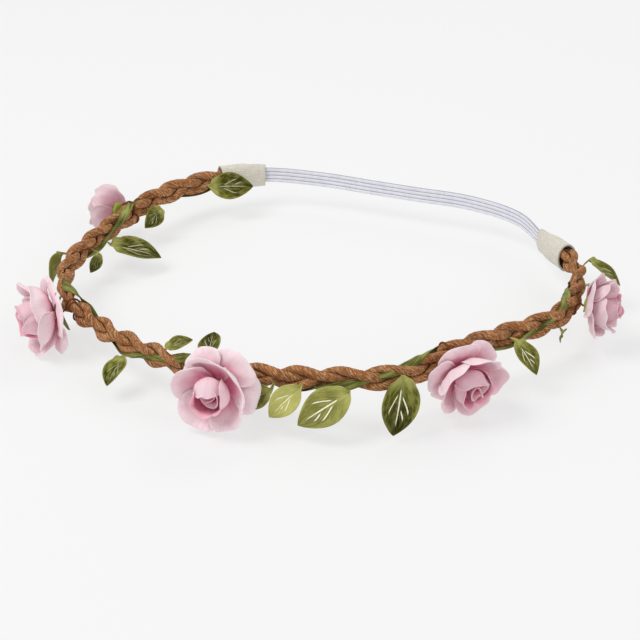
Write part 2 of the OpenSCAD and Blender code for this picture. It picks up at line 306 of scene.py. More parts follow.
class Graph:
    """Short calls for one node tree."""

    def __init__(self, tree: bpy.types.NodeTree) -> None:
        """Keeps the tree."""
        self.tree = tree

    def feed(self, node: bpy.types.Node, values: dict[str | int, Value]) -> None:
        """Links each input to its socket, or sets it where the value is plain."""
        for key, value in values.items():
            if isinstance(value, Socket):
                self.tree.links.new(value, node.inputs[key])
            else:
                node.inputs[key].default_value = value

    def add(self, kind: str, values: dict[str | int, Value], **settings: object) -> bpy.types.Node:
        """Adds a node with its properties set and its inputs fed."""
        node = self.tree.nodes.new("ShaderNode" + kind)
        for key, value in settings.items():
            setattr(node, key, value)
        self.feed(node, values)
        return node

    def group(self, tree: bpy.types.NodeTree, **values: Value) -> bpy.types.NodeOutputs:
        """Outputs of a shared group."""
        return self.add("Group", values, node_tree=tree).outputs

    def math(self, operation: str, *values: Value, clamp: bool = False) -> Socket:
        """A Math node's output."""
        return self.add("Math", dict(enumerate(values)), operation=operation, use_clamp=clamp).outputs[0]

    # The operations that finishes use most, under short names.
    plus = partialmethod(math, "ADD")
    less = partialmethod(math, "SUBTRACT")
    times = partialmethod(math, "MULTIPLY")
    span = partialmethod(math, "MULTIPLY_ADD")
    most = partialmethod(math, "MAXIMUM")
    size = partialmethod(math, "ABSOLUTE")
    wave = partialmethod(math, "SINE")
    part = partialmethod(math, "FRACT")

    def step(self, value: Value, low: float, high: float) -> Socket:
        """Smooth step of a value from 0 at low to 1 at high."""
        values = {"Value": value, "From Min": low, "From Max": high}
        return self.add("MapRange", values, interpolation_type="SMOOTHSTEP").outputs["Result"]

    def mix(self, factor: Value, a: Value, b: Value) -> Socket:
        """Mixes two colours."""
        return self.add("Mix", {0: factor, 6: a, 7: b}, data_type="RGBA").outputs[2]

    def tint(self, base: Value, color: Color, mask: Value, share: Value) -> Socket:
        """Lays a share of a colour over a base where a mask lets it."""
        return self.mix(self.times(mask, share), base, color)

    def lay(self) -> tuple[Socket, list[Socket]]:
        """The lay attribute, whole and as three values."""
        whole = self.add("Attribute", {}, attribute_name="lay").outputs["Vector"]
        return whole, list(self.add("SeparateXYZ", {0: whole}).outputs)

    def side(self) -> Socket:
        """The side attribute."""
        return self.add("Attribute", {}, attribute_name="side").outputs["Fac"]

    def joined(self, *values: Value) -> Socket:
        """A vector from three values."""
        return self.add("CombineXYZ", dict(enumerate(values))).outputs[0]

    def scaled(self, vector: Value, by: Value) -> Socket:
        """A vector times another, number by number."""
        return self.add("VectorMath", {0: vector, 1: by}, operation="MULTIPLY").outputs[0]

    def noise(self, vector: Value, scale: Value, detail: float) -> Socket:
        """Noise value at a vector."""
        return self.add("TexNoise", {"Vector": vector, "Scale": scale, "Detail": detail}).outputs["Fac"]

    def bump(self, height: Value, distance: float) -> Socket:
        """Normal bent by a height, with distance in millimetres."""
        values = {"Height": height, "Distance": distance * MM, "Strength": 1.0}
        return self.add("Bump", values).outputs["Normal"]


class SharedEffects:
    """Effects that several finishes use, each built once as a node group."""

    def __init__(self) -> None:
        """Builds the groups."""
        self.mottle = self._mottle()
        self.weave = self._weave()
        self.fibre = self._fibre()

    @staticmethod
    def _open(name: str, inputs: dict[str, str], outputs: dict[str, str]) -> tuple:
        """A new group with its sockets.

        Args:
            name: Group name.
            inputs: Names and kinds of input sockets.
            outputs: Names and kinds of output sockets.

        Returns:
            The group's graph, the sockets it is given and its output node.
        """
        tree = bpy.data.node_groups.new(name, "ShaderNodeTree")
        for way, sockets in (("INPUT", inputs), ("OUTPUT", outputs)):
            for label, kind in sockets.items():
                tree.interface.new_socket(label, in_out=way, socket_type="NodeSocket" + kind)
        return Graph(tree), tree.nodes.new("NodeGroupInput").outputs, tree.nodes.new("NodeGroupOutput")

    def _mottle(self) -> bpy.types.NodeTree:
        """Dye that took unevenly: a colour that drifts towards a second one."""
        inputs = {"Vector": "Vector", "Scale": "Float", "Amount": "Float"}
        inputs |= {"Color": "Color", "Drift": "Color"}
        g, given, out = self._open("dye mottle", inputs, {"Color": "Color"})
        patchy = g.step(g.noise(given["Vector"], given["Scale"], 4.0), 0.3, 0.7)
        share = g.times(patchy, given["Amount"], clamp=True)
        g.feed(out, {"Color": g.mix(share, given["Color"], given["Drift"])})
        return g.tree

    def _weave(self) -> bpy.types.NodeTree:
        """Threads crossing each other: a height from counts of threads per unit of lay."""
        inputs = dict.fromkeys(("X", "Y", "Warp", "Weft"), "Float")
        g, given, out = self._open("thread weave", inputs, {"Height": "Float", "Grid": "Float"})
        counts = [g.times(given[a], given[b]) for a, b in (("X", "Warp"), ("Y", "Weft"))]
        waves = [g.wave(g.times(count, math.tau)) for count in counts]
        gaps = [g.math("POWER", g.size(wave), 0.5) for wave in waves]
        g.feed(out, {"Height": g.span(g.times(*waves), 0.5, 0.5), "Grid": g.times(*gaps)})
        return g.tree

    def _fibre(self) -> bpy.types.NodeTree:
        """Long streaks that follow a twisted yarn or a paper wrap."""
        inputs = {"Vector": "Vector", "Across": "Float", "Along": "Float"}
        g, given, out = self._open("fibre streaks", inputs, {"Value": "Float", "Fine": "Float"})
        drawn = g.scaled(given["Vector"], g.joined(given["Across"], given["Across"], given["Along"]))
        g.feed(out, {"Value": g.noise(drawn, 1.0, 2.0), "Fine": g.noise(drawn, 3.1, 3.0)})
        return g.tree


@dataclass(frozen=True)
class Finish:
    """A finish: the colours and shader values that are the same all over it."""

    name: str
    color: Color
    drift: Color
    roughness: float = 0.7
    sheen: float = 0.0
    specular: float = 0.3
    soft: float = 0.0
    soft_radius: tuple = (1.0, 0.45, 0.5)
    soft_depth: float = 0.8

    def build(self, fx: SharedEffects) -> Material:
        """Builds the material: plain shader values, then whatever varies over the surface.

        Args:
            fx: The shared effects.

        Returns:
            The new material.
        """
        material = bpy.data.materials.new(self.name)
        material.use_nodes = True
        material.diffuse_color = self.color
        g = Graph(material.node_tree)
        plain = {"Roughness": self.roughness, "Sheen Weight": self.sheen,
                 "Specular IOR Level": self.specular}
        if self.soft:
            plain |= {"Subsurface Weight": self.soft, "Subsurface Radius": self.soft_radius,
                      "Subsurface Scale": self.soft_depth * MM}
        shader = material.node_tree.nodes["Principled BSDF"]
        g.feed(shader, plain)
        g.feed(shader, self.look(g, fx))
        return material

    def dye(self, g: Graph, fx: SharedEffects, vector: Value, scale: float, amount: float) -> Socket:
        """The finish's colour, drifting towards its second one."""
        return g.group(fx.mottle, Vector=vector, Scale=scale, Amount=amount,
                       Color=self.color, Drift=self.drift)["Color"]

    def look(self, g: Graph, fx: SharedEffects) -> Look:
        """What varies over the surface, by shader socket."""
        raise NotImplementedError


@dataclass(frozen=True)
class CordFinish(Finish):
    """Twisted paper cord: fine slanting fibres with dark flecks, painted highlights along the fibres and
    painted shade where cords meet.
    """

    # Colour of the painted shade where cords meet, also used for the dark fibre flecks.
    shade_and_fleck: Color = srgb(36, 14, 0)
    # Colour of the painted highlight along the fibre streaks, standing in for glints.
    crown: Color = srgb(228, 184, 142)

    def look(self, g: Graph, fx: SharedEffects) -> Look:
        """Lay holds two numbers round the cord and one along it."""
        whole, _ = g.lay()
        streak = g.group(fx.fibre, Vector=whole, Across=4.6, Along=0.75)
        tone = self.dye(g, fx, whole, 0.18, 0.8)
        # Painted highlight along the fibre streaks, then dark fibre flecks.
        tone = g.tint(tone, self.crown, g.step(streak["Value"], 0.45, 0.66), 0.85)
        tone = g.tint(tone, self.shade_and_fleck, g.step(streak["Fine"], 0.5, 0.33), 0.8)
        # Painted shade where the cords meet.
        return {"Base Color": g.tint(tone, self.shade_and_fleck, g.step(g.side(), 0.85, 0.05), 0.95),
                "Roughness": g.span(streak["Value"], 0.3, 0.4),
                "Normal": g.bump(g.plus(streak["Value"], streak["Fine"]), 0.22)}


@dataclass(frozen=True)
class RibbonFinish(Finish):
    """Narrow satin ribbon: fine threads along it, painted shade in lengthwise folds, and darker edges."""

    # Colour of the painted shade in the folds, also laid towards the edges.
    fold: Color = srgb(44, 46, 10)

    def look(self, g: Graph, fx: SharedEffects) -> Look:
        """Lay holds across and along in millimetres."""
        whole, (across, along, _) = g.lay()
        weave = g.group(fx.weave, X=across, Y=along, Warp=2.6, Weft=2.2)
        streak = g.noise(g.scaled(whole, (1.6, 0.09, 1.0)), 1.0, 2.0)
        # Painted shade in the lengthwise folds; the edges are darker too.
        fold_shade = g.times(g.step(streak, 0.5, 0.36), 0.7)
        edge = g.times(g.step(g.size(across), 1.2, 1.75), 0.5)
        return {"Base Color": g.mix(g.most(fold_shade, edge), self.dye(g, fx, whole, 0.1, 1.0), self.fold),
                "Roughness": g.span(weave["Grid"], 0.12, 0.4),
                "Normal": g.bump(g.span(streak, 3.0, weave["Height"]), 0.05)}


# Side veins of a leaf: the half they are on, where their line meets the midrib, its slope, and where
# it starts and stops.
SIDE_VEINS = ((1, 0.26, 0.62, 0.12, 0.60), (-1, 0.20, 0.70, 0.14, 0.62), (1, 0.50, 0.56, 0.12, 0.44))


@dataclass(frozen=True)
class LeafFinish(Finish):
    """Stiffened satin leaf: pale base, dark blade with painted shade and light over its folds and creases,
    embossed veins with a painted pale-gold highlight.
    """

    pale: Color = srgb(200, 198, 116)
    # Colour of painted shade, and of the dark leaves' own tone.
    shade: Color = srgb(34, 32, 0)
    # Colour of the painted highlight on the embossed veins.
    vein: Color = srgb(255, 254, 226)
    back: Color = srgb(136, 136, 68)
    apart: float = 7.3

    def look(self, g: Graph, fx: SharedEffects) -> Look:
        """Lay holds across, along, and the leaf's number with its tone after the point."""
        whole, (u, v, leaf) = g.lay()
        tone, wide = g.part(leaf), g.size(u)
        spot = g.scaled(whole, (1.2, 3.0, self.apart))
        patch = g.times(g.step(g.noise(spot, 0.9, 2.0), 0.42, 0.62), g.step(v, 0.2, 0.6))
        dusky = g.span(g.step(v, 0.15, 0.8), 0.4, 0.22)
        blade = self.dye(g, fx, spot, 1.3, 0.9)
        # Darker patches towards the tip; painted shade on one half of the folded blade and beside the
        # midrib; the dark leaves' own tone, deepening towards the tip.
        for mask, share in ((patch, 0.55), (g.step(u, -0.05, 0.25), 0.25), (g.step(wide, 0.6, 0.1), 0.25),
                            (g.step(tone, 0.5, 0.05), dusky)):
            blade = g.tint(blade, self.shade, mask, share)
        # Paler leaves by their tone, then a paler base and margins.
        paler_tone = g.step(tone, 0.5, 0.95)
        blade = g.mix(paler_tone, blade, self.pale)
        margin = g.times(g.step(wide, 0.84, 0.97), 0.4)
        blade = g.mix(g.most(g.step(v, 0.3, 0.04), margin), blade, self.pale)
        weave = g.group(fx.weave, X=g.plus(u, g.times(v, 1.4)), Y=v, Warp=17.0, Weft=30.0)
        crumple = g.noise(g.scaled(whole, (3.2, 5.0, self.apart)), 1.0, 3.0)
        slant = g.joined(g.span(wide, -0.62, v), g.times(u, 0.12), leaf)
        line = g.noise(g.scaled(slant, (26.0, 26.0, self.apart)), 1.0, 2.0)
        # Painted shade in the weave's gaps, along slanting rib lines and in crumples; painted light on the
        # ribs and crumples after it.
        relief_shade = g.times(g.less(1.0, weave["Grid"]), 0.25)
        relief_shade = g.most(relief_shade, g.times(g.step(line, 0.54, 0.36), 0.42))
        relief_shade = g.most(relief_shade, g.times(g.step(crumple, 0.58, 0.38), 0.38))
        blade = g.tint(blade, self.shade, relief_shade, g.span(paler_tone, -0.6, 1.0))
        light = g.most(g.step(line, 0.5, 0.72), g.step(crumple, 0.46, 0.72))
        blade = g.tint(blade, self.pale, light, 0.32)
        # Painted highlight on the embossed veins, broken in places and brightest on the leaves nearest the
        # eye.
        vein = g.times(self._veins(g, u, v), g.step(g.noise(spot, 2.3, 1.0), 0.24, 0.4))
        vein = g.times(vein, self._vein_glint(g, leaf))
        blade = g.mix(vein, blade, self.vein)
        lift = g.span(vein, -1.6, g.span(line, 3.0, weave["Height"]))
        return {"Base Color": g.tint(blade, self.back, g.step(g.side(), 0.7, 0.95), 0.55),
                "Roughness": g.span(weave["Grid"], 0.14, 0.44),
                "Normal": g.bump(lift, 0.06)}

    @staticmethod
    def _vein_glint(g: Graph, leaf: Value) -> Socket:
        """How bright the painted vein highlights are: full on leaves 11 to 14, which lie nearest the eye.
        """
        near = g.times(g.step(leaf, 10.8, 11.0), g.step(leaf, 15.0, 14.8))
        return g.span(near, 0.58, 0.42)

    @staticmethod
    def _veins(g: Graph, u: Value, v: Value) -> Socket:
        """Mask of the midrib and the side veins.

        Args:
            g: The material's graph.
            u: Place across the leaf, -1 to 1.
            v: Place along the leaf, 0 at the base.

        Returns:
            The mask.
        """
        def inside(value: Value, low: float, high: float) -> Socket:
            """One between low and high, softly."""
            return g.times(g.step(value, low, low + 0.06), g.step(value, high, high - 0.08))

        mask = g.times(g.step(g.size(u), 0.058, 0.03), inside(v, 0.2, 0.86))
        for side, start, slope, low, high in SIDE_VEINS:
            signed = g.times(u, float(side))
            line = g.size(g.less(v, g.span(signed, slope, start)))
            mask = g.most(mask, g.times(g.step(line, 0.033, 0.017), inside(signed, low, high)))
        return mask


@dataclass(frozen=True)
class PetalFinish(Finish):
    """Dyed paper petal: deep in its well, paling to the rim, greyer outside, with a soft tooth;
    bright-toned roses get painted light and dim-toned ones painted shade.
    """

    deep: Color = srgb(236, 128, 162)
    rim: Color = srgb(248, 236, 238)
    outside: Color = srgb(238, 214, 220)
    well: tuple = (0.62, 0.1)
    # Colour of the painted shade on roses of low tone.
    dusk_shade: Color = srgb(186, 138, 148)
    apart: float = 5.7

    def look(self, g: Graph, fx: SharedEffects) -> Look:
        """Lay holds across, along, and the petal's number with its rose's tone after the point."""
        whole, (_, v, petal) = g.lay()
        rose, side = g.part(petal), g.side()
        spot = g.scaled(whole, (1.1, 1.6, self.apart))
        drawn = g.plus(v, g.span(g.noise(spot, 2.4, 2.0), 0.3, -0.15))
        folds = g.span(g.step(drawn, 0.45, 1.0), -0.6, 0.9)
        sunk = g.span(g.less(1.0, side), 0.75, 0.25)
        vein = g.noise(g.scaled(whole, (9.0, 1.0, self.apart)), 1.6, 2.0)
        tone = self.dye(g, fx, spot, 1.1, 0.8)
        for color, mask, share in ((self.outside, side, 0.8),
                                   (self.rim, g.step(drawn, 0.4, 1.1), 0.6),
                                   # Painted light on roses toned above 0.5, and painted shade, strongest
                                   # towards the petal base, on those below.
                                   (self.rim, g.step(rose, 0.5, 0.95), 0.55),
                                   (self.dusk_shade, g.step(rose, 0.5, 0.05), folds),
                                   (self.deep, g.step(drawn, *self.well), sunk),
                                   (self.drift, g.step(vein, 0.5, 0.3), 0.22)):
            tone = g.tint(tone, color, mask, share)
        tooth = g.noise(g.scaled(whole, (14.0, 14.0, self.apart)), 3.0, 3.0)
        return {"Base Color": tone,
                "Roughness": g.span(tooth, 0.2, 0.62),
                "Normal": g.bump(g.span(tooth, 0.35, vein), 0.12)}


@dataclass(frozen=True)
class ElasticFinish(Finish):
    """Ribbed elastic: bright cords with grey lines between them and cross threads."""

    line: Color = srgb(158, 158, 166)

    def look(self, g: Graph, fx: SharedEffects) -> Look:
        """Lay holds across in ribs, and along in millimetres."""
        whole, (across, along, _) = g.lay()
        wave = g.size(g.wave(g.times(across, math.pi)))
        weave = g.group(fx.weave, X=across, Y=along, Warp=3.0, Weft=1.3)
        dyed = self.dye(g, fx, whole, 0.4, 0.6)
        return {"Base Color": g.tint(dyed, self.line, g.step(wave, 0.5, 0.1), 0.85),
                "Roughness": g.span(weave["Grid"], 0.15, 0.55),
                "Normal": g.bump(weave["Height"], 0.05)}


@dataclass(frozen=True)
class TapeFinish(Finish):
    """Woven tape: a fine cream grid with darker gaps between threads."""

    gap: Color = srgb(150, 142, 120)

    def look(self, g: Graph, fx: SharedEffects) -> Look:
        """Lay holds round and along, in counts of thread."""
        whole, (around, along, _) = g.lay()
        weave = g.group(fx.weave, X=around, Y=along, Warp=0.42, Weft=0.5)
        dyed = self.dye(g, fx, whole, 0.35, 0.7)
        return {"Base Color": g.tint(dyed, self.gap, g.step(weave["Grid"], 0.6, 0.2), 0.6),
                "Roughness": g.span(weave["Grid"], -0.1, 0.9),
                "Normal": g.bump(weave["Height"], 0.2)}


@dataclass(frozen=True)
class WrapFinish(Finish):
    """Paper-wrapped wire, moulded hip or glue: a colour that drifts, with a fibrous or pitted skin."""

    grain: float = 0.06
    across: float = 2.0
    along: float = 0.5

    def look(self, g: Graph, fx: SharedEffects) -> Look:
        """Lay holds two numbers round the piece and one along it."""
        whole, _ = g.lay()
        streak = g.group(fx.fibre, Vector=whole, Across=self.across, Along=self.along)
        dyed = self.dye(g, fx, whole, 0.8, 0.8)
        return {"Base Color": g.tint(dyed, self.drift, g.step(streak["Fine"], 0.5, 0.35), 0.5),
                "Roughness": g.span(streak["Value"], 0.2, self.roughness - 0.1),
                "Normal": g.bump(streak["Value"], self.grain)}


@dataclass(frozen=True)
class FloorFinish(Finish):
    """Plain pale floor, lit from below like a light table."""

    glow: float = 0.6

    def look(self, g: Graph, fx: SharedEffects) -> Look:
        """The floor has no lay: its dye follows its own place."""
        place = g.add("TexCoord", {}).outputs["Object"]
        return {"Base Color": self.dye(g, fx, place, 1.5, 0.5),
                "Emission Color": WHITE,
                "Emission Strength": self.glow}


FINISHES: dict[Slot, Finish] = {
    Slot.CORD: CordFinish(
        "paper_cord", srgb(176, 112, 62), srgb(136, 80, 38), roughness=0.5, specular=0.06),
    Slot.RIBBON: RibbonFinish(
        "satin_ribbon", srgb(164, 166, 92), srgb(86, 88, 28), roughness=0.45, specular=0.08),
    Slot.LEAF: LeafFinish(
        "satin_leaf", srgb(126, 126, 40), srgb(92, 92, 20), roughness=0.5, specular=0.06),
    Slot.PETAL: PetalFinish(
        "dyed_petal", srgb(241, 207, 215), srgb(230, 184, 195), sheen=0.15, specular=0.25, soft=0.25),
    Slot.HEART: PetalFinish(
        "dyed_heart", srgb(234, 192, 202), srgb(216, 142, 162), sheen=0.15, specular=0.25, soft=0.25,
        deep=srgb(216, 66, 116), rim=srgb(246, 228, 232), outside=srgb(238, 204, 212), well=(1.0, 0.62)),
    Slot.ELASTIC: ElasticFinish(
        "ribbed_elastic", srgb(232, 232, 240), srgb(214, 214, 228), roughness=0.6, sheen=0.2),
    Slot.TAPE: TapeFinish(
        "woven_tape", srgb(236, 232, 220), srgb(222, 216, 200), roughness=0.85, sheen=0.2, specular=0.2),
    Slot.WIRE: WrapFinish(
        "wrapped_wire", srgb(132, 86, 46), srgb(88, 54, 26), roughness=0.8, specular=0.06),
    Slot.HIP: WrapFinish(
        "moulded_hip", srgb(168, 178, 70), srgb(128, 140, 48), roughness=0.55, specular=0.35,
        grain=0.04, across=1.0, along=0.6),
    Slot.GLUE: WrapFinish(
        "set_glue", srgb(220, 204, 160), srgb(200, 180, 130), roughness=0.4, specular=0.5, soft=0.2,
        grain=0.08, across=0.6, along=0.6)}
FLOOR = FloorFinish(
    "pale_floor", (0.3, 0.3, 0.3, 1), (0.288, 0.291, 0.288, 1), roughness=0.9, specular=0.05)


# The band


@dataclass(frozen=True)
class Band:
    """The headband's centreline as it was laid, in millimetres and degrees from the front.

    The wander is how far it lies outwards and upwards of a true ring, at even steps from the back.
    """

    ring_r: float = 88.0
    ring_h: float = 14.5
    flex_at: float = -13.0
    flex_half: float = 12.0
    wander: tuple = (
        (-12, -1.5), (-12, -1.5), (-6.5, -1.5), (0, -1), (2.5, -1), (0.5, -0.5), (-2, -0.5), (-0.5, -0.5),
        (3.5, -0.5), (4, -0.5), (0.5, -0.5), (-1.5, -0.5), (-0.5, 0.5), (-1, 2), (1.5, 3.5), (4.5, 4.5),
        (-4, 4), (-3.5, 3), (2.5, 2), (3, 0.5), (2.5, -0.5), (-3.5, -1), (-2, -1.5), (-6.5, -1.5))

    def mid(self, a: Numbers) -> Array:
        """Points of the centreline at angles a, on a smooth curve through the wander."""
        a = np.asarray(a, float)
        rows = np.array(self.wander, float)
        t = (a + 180.0) * len(rows) / 360.0
        i = np.floor(t).astype(int)
        f = (t - i)[..., None]
        p0, p1, p2, p3 = (rows[(i + k) % len(rows)] for k in (-1, 0, 1, 2))
        off = 0.5 * (2 * p1 + (p2 - p0) * f + (2 * p0 - 5 * p1 + 4 * p2 - p3) * f ** 2
                     + (3 * p1 - p0 - 3 * p2 + p3) * f ** 3)
        r = self.ring_r + off[..., 0]
        return stacked(r * sind(a), -r * cosd(a), self.ring_h + off[..., 1])

    def axes(self, a: Numbers) -> tuple[Array, Array, Array]:
        """Directions along the band, outwards and upwards at angles a."""
        a = np.asarray(a, float)
        along = unit(self.mid(a + 0.5) - self.mid(a - 0.5))
        outward = unit(np.cross(along, UP))
        return along, outward, np.cross(outward, along)

    def clock(self, a: Numbers, c: Numbers) -> Array:
        """Directions square to the band at clock angle c: 0 outwards, 90 up."""
        _, outward, upward = self.axes(a)
        return cosd(c)[..., None] * outward + sind(c)[..., None] * upward

    def body_at(self, a: float) -> str:
        """Body that carries what sits at angle a."""
        return (Body.RIGHT if a > self.flex_at else Body.LEFT).value

    def bend_over_flex(self, piece: Piece) -> None:
        """Finds where the band flexes, but only bakes a piece's transform into its mesh."""
        x, y, z = self.mid(self.flex_at) * MM
        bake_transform(piece)


@dataclass
class Plait:
    """Three paper cords plaited flat, and the satin ribbon wound round them.

    Sizes are in millimetres and angles in degrees, here and in the pieces below.
    """

    band: Band
    finishes: dict[Slot, Material]
    strand_d: float = 2.6
    full_wide: float = 1.27
    press: float = 0.72
    end: float = 129.0
    pitch: float = 39.0
    twist: float = 11.0
    strand_rings: int = 861
    meet_over: float = 0.9
    meet_steps: int = 14
    ribbon_w: float = 3.5
    ribbon_t: float = 0.3
    ribbon_turn: float = 47.0
    ribbon_from: float = 36.0
    ribbon_end: float = 122.9
    satin_t: float = 0.26
    satin_fold: float = 0.12
    satin_tuck: float = 1.5
    taut_steps: int = 11
    taut_step: float = 0.38
    taut_lift: float = 0.15
    wire_ease: tuple = (8.0, 40.0)
    seat_beside: float = 5.0
    seat_over: float = 0.5
    seat_in: float = 0.1
    fit_gap: float = 0.3

    @property
    def swing(self) -> float:
        """Sideways swing of a cord."""
        return 0.98 * self.strand_d

    @property
    def depth(self) -> float:
        """In and out dip of a cord, pressed flatter than a round cord would lie."""
        return 0.8 * self.strand_d * self.press

    @property
    def round_r(self) -> float:
        """Radius of the round space that the plait fills."""
        return math.sqrt(self.swing ** 2 / 2 + (self.depth / self.press) ** 2) + self.strand_d / 2

    @property
    def ribbon_r(self) -> float:
        """Radius of the ribbon's turns."""
        return self.round_r + self.fit_gap + self.ribbon_t / 2

    @property
    def wrap_r(self) -> float:
        """Radius just clear of the ribbon."""
        return self.ribbon_r + self.ribbon_t / 2 + self.fit_gap

    @property
    def ribbon_lead(self) -> float:
        """Length of band that one turn of the ribbon takes."""
        return self.ribbon_turn * math.pi / 180 * self.band.ring_r

    @property
    def ribbon_slant(self) -> float:
        """Length of one turn of the ribbon."""
        return math.hypot(math.tau * self.ribbon_r, self.ribbon_lead)

    @property
    def ribbon_cover(self) -> float:
        """Half the clock angle that the ribbon covers."""
        return math.degrees(self.ribbon_w / 2 * self.ribbon_slant / self.ribbon_lead / self.ribbon_r)

    def strand_mid(self, a: Array, k: int) -> Array:
        """Centreline of cord k at angles a."""
        a = np.asarray(a, float)
        arc = 2 * self.end * math.pi / 180 * self.band.ring_r
        waves = round(3 * arc / self.pitch) / 3
        w = math.tau * (waves * (a + self.end) / (2 * self.end) + k / 3)
        _, outward, upward = self.band.axes(a)
        return (self.band.mid(a) + (self.swing * np.cos(w))[..., None] * upward
                + (self.depth * np.sin(2 * w))[..., None] * outward)

    def ribbon_clock(self, a: Array) -> Array:
        """Clock angle of the ribbon at angles a."""
        return 360.0 * (a - self.ribbon_from) / self.ribbon_turn

    def off_ribbon(self, a: Numbers, c: Numbers) -> Array:
        """Clock angle between the ribbon's middle and clock c at angles a."""
        return np.abs(half_turn(self.ribbon_clock(a) - c))

    def over_ribbon(self, a: Array, c: Array) -> Array:
        """One where a wire crosses over the ribbon, easing to 0 beside it."""
        near, far = self.wire_ease
        away = np.clip((self.off_ribbon(a, c) - self.ribbon_cover - near) / (far - near), 0.0, 1.0)
        return 0.5 + 0.5 * cosd(180.0 * away)

    def build(self) -> None:
        """Builds the cords and the ribbon."""
        for k, letter in enumerate("abc"):
            self._strand(k, letter)
        self._ribbon()

    def _strand(self, k: int, letter: str) -> None:
        """Builds cord k, pressed wide where it shows, and marks where it meets its neighbours, for painted
        shade there.
        """
        a = np.linspace(-self.end, self.end, self.strand_rings)
        centre = self.strand_mid(a, k)
        t = unit(self.strand_mid(a + 0.1, k) - self.strand_mid(a - 0.1, k))
        o = flat_to(self.band.axes(a)[1], t)
        s, turn = run_of(centre), ticks(20)
        lie = turn + math.tau * s[:, None] / self.twist + k
        ridge = 1 + 0.022 * np.cos(5 * lie) + 0.012 * np.cos(9 * lie + 2)
        slub = 1 + 0.03 * np.sin(s / 2.9 + 2 * k) + 0.02 * np.sin(s / 1.1 + k)
        r = self.strand_d / 2 * slub[:, None] * ridge
        rings = hoops(centre, o, np.cross(o, t), r * np.cos(turn), self.full_wide * r * np.sin(turn))
        near = np.full(r.shape, np.inf)
        for other in ((k + 1) % 3, (k + 2) % 3):
            line = self.strand_mid(a, other)
            for shift in range(-self.meet_steps, self.meet_steps + 1):
                gap = np.linalg.norm(rings - np.roll(line, shift, axis=0)[:, None], axis=-1)
                near = np.minimum(near, gap)
        # Side falls to 0 where cords meet; the finish paints shade there.
        bare = np.clip((near - self.strand_d / 2) / self.meet_over, 0.0, 1.0)
        lay = stacked(np.cos(lie), np.sin(lie), s[:, None] + 37.0 * k)
        piece = Skin().tube(rings, lay, bare).make(f"plait_cord_{letter}", self.finishes[Slot.CORD])
        self.band.bend_over_flex(piece)
        settle(piece, f"strand_{letter}")

    def _ribbon(self) -> None:
        """Builds the satin ribbon, drawn down on the cords as it winds."""
        a = np.linspace(-self.ribbon_end, self.ribbon_end, 640)
        x = np.linspace(-1, 1, 13)[:, None] * self.ribbon_w / 2
        run, lead, slant = math.tau * self.ribbon_r, self.ribbon_lead, self.ribbon_slant
        here = a + np.degrees(x * run / slant / self.band.ring_r)
        clock = self.ribbon_clock(a) - np.degrees(x * lead / slant / self.ribbon_r)
        fold = self.satin_fold * np.sin(2.6 * x + 0.05 * self.ribbon_clock(a))
        lies = half_turn(clock)
        tuck = self.satin_tuck * ease(-25.0, 20.0, lies) * ease(95.0, 60.0, lies)
        r = np.minimum(self.drawn_in(here, clock) + fold, self.ribbon_r) - tuck
        grid = self.band.mid(here) + r[..., None] * self.band.clock(here, clock)
        lay = stacked(x, run_of(self.band.mid(a)) * slant / lead, 0.0)
        piece = Skin().sheet(grid, self.satin_t, lay).make("wound_satin_ribbon", self.finishes[Slot.RIBBON])
        self.band.bend_over_flex(piece)
        settle(piece, "leaf_ribbon")

    def cord_reach(self, a: Array, c: Array) -> Array:
        """How far the cords reach out at angles a and clocks c."""
        a, c = np.broadcast_arrays(a, c)
        ray, side, middle = self.band.clock(a, c), self.band.clock(a, c + 90.0), self.band.mid(a)
        r, reach = self.strand_d / 2 * self.full_wide, np.zeros(a.shape)
        for k in range(3):
            q = self.strand_mid(a, k) - middle
            off = np.sum(q * side, axis=-1)
            edge = np.sum(q * ray, axis=-1) + np.sqrt(np.maximum(r * r - off * off, 0.0))
            reach = np.where(np.abs(off) < r, np.maximum(reach, edge), reach)
        return reach

    def drawn_in(self, a: Numbers, c: Numbers) -> Array:
        """Radius at which a ribbon drawn tight over the cords runs at angles a and clocks c."""
        n = self.taut_steps
        step = np.arange(-n, n + 1) * self.taut_step
        here, clock = np.asarray(a, float)[..., None], np.asarray(c, float)[..., None]
        reach = self.cord_reach(here + step, clock + step * 360.0 / self.ribbon_turn)
        return self.taut_lift + np.mean([reach[..., i:i + n].max(axis=-1) for i in range(n + 2)], axis=0)

    def seat(self, a: float, c: float, wide: float) -> float:
        """Distance from the centreline at which a stalk of that width sits on cords or ribbon."""
        half = math.degrees(wide / 2 / self.round_r)
        if self.off_ribbon(a, c) < self.ribbon_cover + half + self.seat_beside:
            return float(self.drawn_in(a, c)) + self.seat_over
        along, round_it = np.meshgrid((a - 0.5, a, a + 0.5), (c - half, c, c + half))
        return float(self.cord_reach(along, round_it).max()) - self.seat_in


# Leaves


@dataclass(frozen=True)
class LeafSpec:
    """One leaf: place along the band, clock angles of foot, blade and face, lean, length and tone."""

    number: int
    at: float
    foot: float
    blade: float
    lean: float
    face: float
    length: float
    tone: float
    free: bool = False


